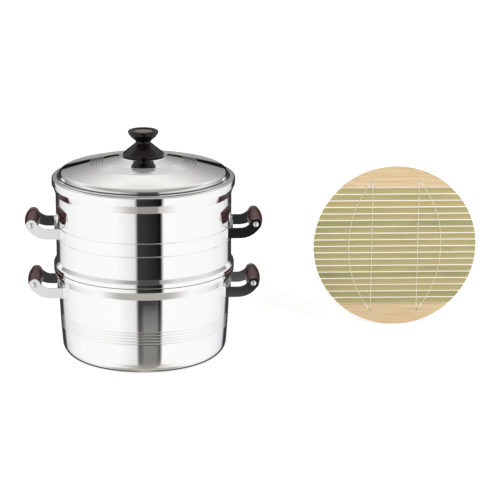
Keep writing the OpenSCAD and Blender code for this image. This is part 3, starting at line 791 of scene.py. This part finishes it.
def makeKnob():
    low, high = boxOf("lid_knob")
    base, height = low.z, high.z - low.z
    cupZ = height - knob["rim"]
    dishZ = height - knob["dishDepth"]
    under = knob["neck"] + (knob["cup"] - knob["neck"]) * knob["cupSwell"] - knob["sharp"]
    corners = [
        (0, 0, 0), (knob["foot"], 0, knob["sharp"]), (knob["foot"], knob["edge"], knob["soft"]),
        (knob["neck"], knob["neckZ"] - knob["neckHeight"], knob["neckHeight"]),
        (knob["neck"], knob["neckZ"], knob["sharp"]),
        (under, (cupZ + knob["neckZ"]) / 2, knob["cupBend"]),
        (knob["cup"], cupZ, knob["cupBend"]), (knob["cup"], height, knob["lip"]),
        (knob["dish"], height, knob["sharp"]),
        (knob["dish"] - knob["dishDepth"], dishZ, knob["soft"]), (0, dishZ, 0)]
    piece = spinOutline("lidKnob", [p + Vector((0, base)) for p in roundCorners(corners)],
                        steps=96)
    smooth(piece)
    finishPiece(piece, "lid", "knob_phenolic", [makePhenolic(), makePaintedDishSheen()], "lid_knob")
    # painted sheen: the dish's flat top gets the grey material
    paint(piece, 1, lambda at, normal: normal.z > 0.8 and abs(at.z - base - dishZ) < touching)


fixing = {
    "shank": 2.5, "head": 5, "headGap": 0.1, "slotWidth": 1.4, "slotDepth": 1.6,
    "slotLength": 5.6, "screwRound": 0.1, "washer": 8, "hole": 2.6, "washerRound": 0.15,
}


def domeArc(radius, height, count=8):
    # Points of a domed head from its rim (radius, 0) to its top (0, height)
    ball = (radius ** 2 + height ** 2) / (2 * height)
    full = math.asin(radius / ball)
    return [(ball * math.sin(full * (1 - k / count)),
             height - ball + ball * math.cos(full * (1 - k / count))) for k in range(count + 1)]


def makeLidFixing():
    low, high = boxOf("lid_screw")
    washerLow, washerHigh = boxOf("lid_washer")
    headZ = washerLow.z - fixing["headGap"]
    dome = [(x, headZ - y) for x, y in domeArc(fixing["head"], headZ - low.z)]
    outline = [(0, high.z), (fixing["shank"], high.z), (fixing["shank"], headZ)] + dome
    screw = spinOutline("lidScrew", outline, steps=48)
    for turn in (0, math.pi / 2):
        bpy.ops.mesh.primitive_cube_add(size=1)
        tool = bpy.context.object
        placeWith(tool, Matrix.Translation((0, 0, low.z * mm)) @ Matrix.Rotation(turn, 4, "Z")
                  @ Matrix.Diagonal((fixing["slotLength"] * mm, fixing["slotWidth"] * mm,
                                     2 * fixing["slotDepth"] * mm, 1)))
        cut(screw, tool)
    roundEdges(screw, fixing["screwRound"], segments=1)
    smooth(screw)
    finishPiece(screw, "lid", "fastener_metal", [fastener], "lid_screw")
    outline = [(fixing["hole"], washerLow.z), (fixing["washer"], washerLow.z),
               (fixing["washer"], washerHigh.z), (fixing["hole"], washerHigh.z),
               (fixing["hole"], washerLow.z)]
    washer = spinOutline("lidWasher", outline, steps=64)
    roundEdges(washer, fixing["washerRound"])
    smooth(washer)
    finishPiece(washer, "lid", "fastener_metal", [fastener], "lid_washer")


makeLid()
makeKnob()
makeLidFixing()
print("lid: domed shell with turned rings, knob, screw and washer")


# ---- handles

handle = {
    "strapRound": 0.35, "gripMiddle": 12.2, "gripEnd": 8.75, "gripPower": 2.2, "bore": 2.6,
    "gripRound": 0.8, "gripSteps": 28, "rod": 2.5, "rodHead": 4.5, "rodHeadHeight": 2.8,
    "rodRound": 0.25, "rivet": 2, "rivetHead": 4.5, "rivetHeadHeight": 2, "rivetSpan": 44,
    "rivetDeep": 5, "rivetTipIn": 0.9, "rivetTailIn": 0.5, "rivetTail": 1, "rivetRound": 0.2,
}
gripWood = makeGripWood()


def alongY(x, z):  # turns a piece made round Z so that its axis runs along Y through (x, z)
    return Matrix.Translation((x * mm, 0, z * mm)) @ Matrix.Rotation(math.pi / 2, 4, "X")


def makeStrapPiece(node, name, body):
    # The strap's bent form is the solid's own: a copy without its labels, with slivers cleaned
    # off and edges rounded
    piece = copyOf(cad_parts[node], name)
    for key in list(piece.keys()):
        del piece[key]
    piece.parent = None
    piece.hide_render = piece.hide_viewport = False
    choose(piece)
    bpy.ops.object.mode_set(mode="EDIT")
    bpy.ops.mesh.select_all(action="SELECT")
    bpy.ops.mesh.remove_doubles(threshold=0.002 * mm)
    bpy.ops.mesh.dissolve_limited(angle_limit=math.radians(1.5))
    bpy.ops.object.mode_set(mode="OBJECT")
    roundEdges(piece, handle["strapRound"], segments=3, angle=40)
    smooth(piece, angle=30)
    finishPiece(piece, body, "strap_metal", [strapMetal], node)


def makeGrip(node, name, body):
    low, high = boxOf(node)
    half = (high.y - low.y) / 2
    steps = handle["gripSteps"]

    def radiusAt(share):
        narrowing = handle["gripMiddle"] - handle["gripEnd"]
        return handle["gripMiddle"] - narrowing * abs(share) ** handle["gripPower"]

    outline = [(handle["bore"], -half, 0), (radiusAt(1), -half, handle["gripRound"])]
    outline += [(radiusAt(s), s * half, 0) for s in (2 * i / steps - 1 for i in range(1, steps))]
    outline += [(radiusAt(1), half, handle["gripRound"]), (handle["bore"], half, 0),
                (handle["bore"], -half, 0)]
    piece = spinOutline(name, roundCorners(outline, step=20), steps=64)
    middle = (low + high) / 2
    placeWith(piece, alongY(middle.x, middle.z))
    smooth(piece)
    finishPiece(piece, body, "grip_wood", [gripWood], node)


def makeRod(node, name, body):
    low, high = boxOf(node)
    seat = (high.y - low.y) / 2 - handle["rodHeadHeight"]
    dome = domeArc(handle["rodHead"], handle["rodHeadHeight"])
    outline = [(x, -seat - y) for x, y in reversed(dome)]
    outline += [(handle["rod"], -seat), (handle["rod"], seat)]
    outline += [(x, seat + y) for x, y in dome]
    piece = spinOutline(name, outline, steps=48)
    roundEdges(piece, handle["rodRound"], angle=40)
    middle = (low + high) / 2
    placeWith(piece, alongY(middle.x, middle.z))
    smooth(piece)
    finishPiece(piece, body, "fastener_metal", [fastener], node)


def makeRivets(node, name, body, side):
    # Two rivets through web and wall, leaning out to each side of the handle's middle
    low, high = boxOf(node)
    middleZ = (low.z + high.z) / 2
    reach = max(abs(low.x), abs(high.x))          # how far the heads' tops stand out along X
    turn = math.asin(handle["rivetSpan"] / 2 / (reach - handle["rivetDeep"]))
    tip = reach / math.cos(turn) - handle["rivetTipIn"]
    inner = min(abs(low.x), abs(high.x)) / math.cos(turn) + handle["rivetTailIn"]
    tail = inner + handle["rivetTail"]
    dome = domeArc(handle["rivetHead"], handle["rivetHeadHeight"])
    seat = tip - handle["rivetHeadHeight"]
    outline = [(0, inner), (handle["rivetHead"], inner), (handle["rivetHead"], tail),
               (handle["rivet"], tail), (handle["rivet"], seat)]
    outline += [(x, seat + y) for x, y in dome]
    pair = []
    for way in (-1, 1):
        piece = spinOutline(name, outline, steps=40)
        roundEdges(piece, handle["rivetRound"], angle=40)
        lean = Matrix.Rotation(way * turn, 4, "Z") @ Matrix.Rotation(math.pi / 2, 4, "Y")
        if side < 0:
            lean = Matrix.Rotation(math.pi, 4, "Z") @ lean
        placeWith(piece, Matrix.Translation((0, 0, middleZ * mm)) @ lean)
        pair.append(piece)
    both = joined(*pair)
    smooth(both)
    finishPiece(both, body, "fastener_metal", [fastener], node)


for body in ("pot", "steamer"):
    for side, word in ((-1, "left"), (1, "right")):
        title = body + word.capitalize()
        makeStrapPiece(f"{body}_bracket_{word}", title + "Strap", body)
        makeGrip(f"{body}_grip_{word}", title + "Grip", body)
        makeRod(f"{body}_rod_{word}", title + "Rod", body)
        makeRivets(f"{body}_rivets_{word}", title + "Rivets", body, side)
print("handles: four straps with turned grips, rods and rivets")


# ---- bamboo mat

mat = {
    "slats": 18, "slatRound": 0.35, "boardRound": 0.6, "holeRadius": 2.4, "holeX": 40,
    "holeInset": 8.4, "bowX": 77.6, "bowPower": 2.3, "strand": 0.45, "clear": 0.15,
    "ply": 0.23, "twist": 3.2, "sample": 0.42, "gapTurn": 0.25, "gapLead": 0.2, "gapDrop": 0.06,
    "knotSize": 1.05, "knotThick": 0.5, "knotWide": 1.2, "knotWave": 0.5, "knotAbove": 1.4,
    "knotPoints": 18, "middleSlat": 9,
}
topLow, topHigh = boxOf("mat_board_top")
slatLow, slatHigh = boxOf(f"mat_slat_{mat['middleSlat']:02d}")
nextLow = boxOf(f"mat_slat_{mat['middleSlat'] + 1:02d}")[0]
matR = topHigh.z / 2
matX = (topLow.x + topHigh.x) / 2
matBack = topHigh.y
boardThick = topHigh.y - topLow.y
boardEdge = topLow.z - matR              # from the mat's middle to a board's straight edge
slatPitch = nextLow.z - slatLow.z
slatGap = slatPitch - (slatHigh.z - slatLow.z)
slatBack, slatThick = matBack - slatHigh.y, slatHigh.y - slatLow.y
firstSlat = (slatLow.z + slatHigh.z) / 2 - (mat["middleSlat"] - 1) * slatPitch
strandSide = mat["strand"] + mat["clear"]


def onMat(x, y, z):  # the mat's own x, y and height above its back, as a place in metres
    return Vector((matX + x, matBack - z, matR + y)) * mm


def discSlice(name, bottom, top, back, front):
    # A round blank as thick as the piece, cut off square below bottom and above top
    deselectAll()
    bpy.ops.mesh.primitive_cylinder_add(
        vertices=288, radius=matR * mm, depth=(front - back) * mm,
        location=onMat(0, 0, (front + back) / 2), rotation=(math.pi / 2, 0, 0))
    piece = bpy.context.object
    piece.name = name
    bpy.ops.object.transform_apply(location=True, rotation=True, scale=True)
    bpy.ops.object.mode_set(mode="EDIT")
    for level, below in ((bottom, True), (top, False)):
        if abs(level) < matR:
            bpy.ops.mesh.select_all(action="SELECT")
            bpy.ops.mesh.bisect(plane_co=onMat(0, level, 0), plane_no=(0, 0, 1), use_fill=True,
                                clear_inner=below, clear_outer=not below)
    bpy.ops.object.mode_set(mode="OBJECT")
    return piece


def makeBoards(wood):
    for side, node, name in ((-1, "mat_board_bottom", "matBoardBottom"),
                             (1, "mat_board_top", "matBoardTop")):
        bottom, top = sorted((side * boardEdge, side * 2 * matR))
        piece = discSlice(name, bottom, top, 0, boardThick)
        for x in (-mat["holeX"], mat["holeX"]):
            bpy.ops.mesh.primitive_cylinder_add(
                vertices=32, radius=mat["holeRadius"] * mm, depth=4 * boardThick * mm,
                location=onMat(x, side * (boardEdge + mat["holeInset"]), boardThick / 2),
                rotation=(math.pi / 2, 0, 0))
            tool = bpy.context.object
            bpy.ops.object.transform_apply(location=True, rotation=True, scale=True)
            cut(piece, tool)
        roundEdges(piece, mat["boardRound"], segments=3)
        smooth(piece, angle=30)
        finishPiece(piece, "mat", "board_wood", [wood], node)


def makeSlats(skin, flesh):
    for i in range(1, mat["slats"] + 1):
        low, high = boxOf(f"mat_slat_{i:02d}")
        piece = discSlice(f"matSlat{i:02d}", low.z - matR, high.z - matR, slatBack,
                          slatBack + slatThick)
        roundEdges(piece, mat["slatRound"], segments=3)
        smooth(piece, angle=30)
        finishPiece(piece, "mat", "bamboo", [flesh, skin], f"mat_slat_{i:02d}")
        paint(piece, 1, lambda at, normal: normal.y < -0.85)      # the skin is on the front


def lineX(bowed, y):  # how far a string line is from the mat's middle at a height
    start = mat["holeX"] + (2 if bowed else -2) * strandSide
    if not bowed:
        return start
    reach = boardEdge + mat["holeInset"]
    return start + (mat["bowX"] - start) * (1 - (abs(y) / reach) ** mat["bowPower"])


def strandRoute(bowed, strand):
    # Points of one strand, over every other slat and under those between, from hole to hole
    last = mat["slats"] + 1
    onBoard = boardThick + strandSide

    def isBoard(i):
        return i in (0, last)

    def isOver(i):
        return (i + strand) % 2 == 0

    def level(i):
        if isBoard(i):
            return onBoard
        return slatBack + slatThick + strandSide if isOver(i) else slatBack - strandSide

    def gapWay(i):
        over = isOver(i + 1) if i < mat["slats"] else not isOver(i)
        return -1 if over else 1

    def ends(side, way):  # from the bottom of a hole up onto its board
        reach = boardEdge + mat["holeInset"]
        return [(side * reach, strandSide, way), (side * reach, boardThick - mat["strand"], way),
                (side * (reach - 2 * mat["strand"]), onBoard, way)]

    points = ends(-1, gapWay(0))
    lead = slatGap / 2
    for i in range(last):
        y = -boardEdge + lead + slatPitch * i
        start, end, way = level(i), level(i + 1), gapWay(i)
        drop = (end - start) * mat["gapDrop"]
        points += [
            (y - lead - mat["gapLead"], start, way if isBoard(i) else 0),
            (y - mat["gapTurn"], start + drop, way), (y, (start + end) / 2, way),
            (y + mat["gapTurn"], end - drop, way),
            (y + lead + mat["gapLead"], end, way if isBoard(i + 1) else 0)]
    points += reversed(ends(1, gapWay(mat["slats"])))
    return [Vector((lineX(bowed, y) + way * strandSide, y, z)) for y, z, way in points]


def evenly(points, gap):  # points along a line, the same distance apart
    line, walked, target = [points[0].copy()], 0.0, gap
    for a, b in zip(points, points[1:]):
        length = (b - a).length
        while walked + length >= target:
            line.append(a.lerp(b, (target - walked) / length))
            target += gap
        walked += length
    return line


def softened(points):  # rounds a line's corners off without moving its ends
    inner = [(a + 2 * b + c) / 4 for a, b, c in zip(points, points[1:], points[2:])]
    return [points[0]] + inner + [points[-1]]


def roundCurve(name, radius, rounds):  # an empty curve with a round section
    curve = bpy.data.curves.new(name, "CURVE")
    curve.dimensions = "3D"
    curve.bevel_depth = radius * mm
    curve.bevel_resolution = rounds
    return curve


def meshFrom(curve):  # a piece with the curve's name and form
    piece = bpy.data.objects.new(curve.name, curve)
    scene.collection.objects.link(piece)
    choose(piece)
    bpy.ops.object.convert(target="MESH")
    piece = bpy.context.object
    smooth(piece, angle=60)
    return piece


def makeStrings(cotton):
    # Four lines of two strands, each strand two plies twisted together
    for number in range(1, 5):
        bowed, mirrored = number in (1, 4), number <= 2
        curve = roundCurve(f"matString{number}", mat["ply"], 1)
        curve.use_fill_caps = True
        for strand in (0, 1):
            route = softened(evenly(strandRoute(bowed, strand), mat["sample"]))
            for ply in (0, 1):
                spline = curve.splines.new("POLY")
                spline.points.add(len(route) - 1)
                for k, here in enumerate(route):
                    ahead = (route[min(k + 1, len(route) - 1)] - route[max(k - 1, 0)]).normalized()
                    out = ahead.cross(Vector((1, 0, 0))).normalized()
                    side = ahead.cross(out)
                    turn = 2 * math.pi * k * mat["sample"] / mat["twist"] + ply * math.pi
                    place = here + (math.cos(turn) * out + math.sin(turn) * side) * (
                        mat["strand"] - mat["ply"])
                    x = -place.x if mirrored else place.x
                    spline.points[k].co = (*onMat(x, place.y, place.z), 1)
        finishPiece(meshFrom(curve), "mat", "string", [cotton], f"mat_string_{number}")


def makeKnots(cotton):
    # The strings end in a small knot in each hole: one round of string through itself
    for side, word in ((-1, "Bottom"), (1, "Top")):
        for x, hand in ((-mat["holeX"], "Left"), (mat["holeX"], "Right")):
            curve = roundCurve(f"matKnot{word}{hand}", mat["knotThick"], 2)
            spline = curve.splines.new("NURBS")
            spline.points.add(mat["knotPoints"] - 1)
            for k in range(mat["knotPoints"]):
                a = 2 * math.pi * k / mat["knotPoints"]
                flatX = (math.sin(a) + 2 * math.sin(2 * a)) / 3 * mat["knotWide"]
                flatY = (math.cos(a) - 2 * math.cos(2 * a)) / 3 * mat["knotWide"]
                rise = math.sin(3 * a) * mat["knotWave"] * mat["knotSize"]
                place = onMat(x + flatX * mat["knotSize"],
                              side * (boardEdge + mat["holeInset"]) + flatY * mat["knotSize"],
                              mat["knotAbove"] - rise)
                spline.points[k].co = (*place, 1)
            spline.use_cyclic_u = True
            spline.order_u = 4
            spline.resolution_u = 4
            piece = meshFrom(curve)
            piece.data.materials.append(cotton)
            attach(piece, "mat")
            piece.visible_glossy = False


makeBoards(makeBoardWood())
makeSlats(makeBambooSkin(slatPitch, firstSlat), makeBambooFlesh())
cotton = makeString()
makeStrings(cotton)
makeKnots(cotton)
print("bamboo mat: two end boards, slats and four twined strings")
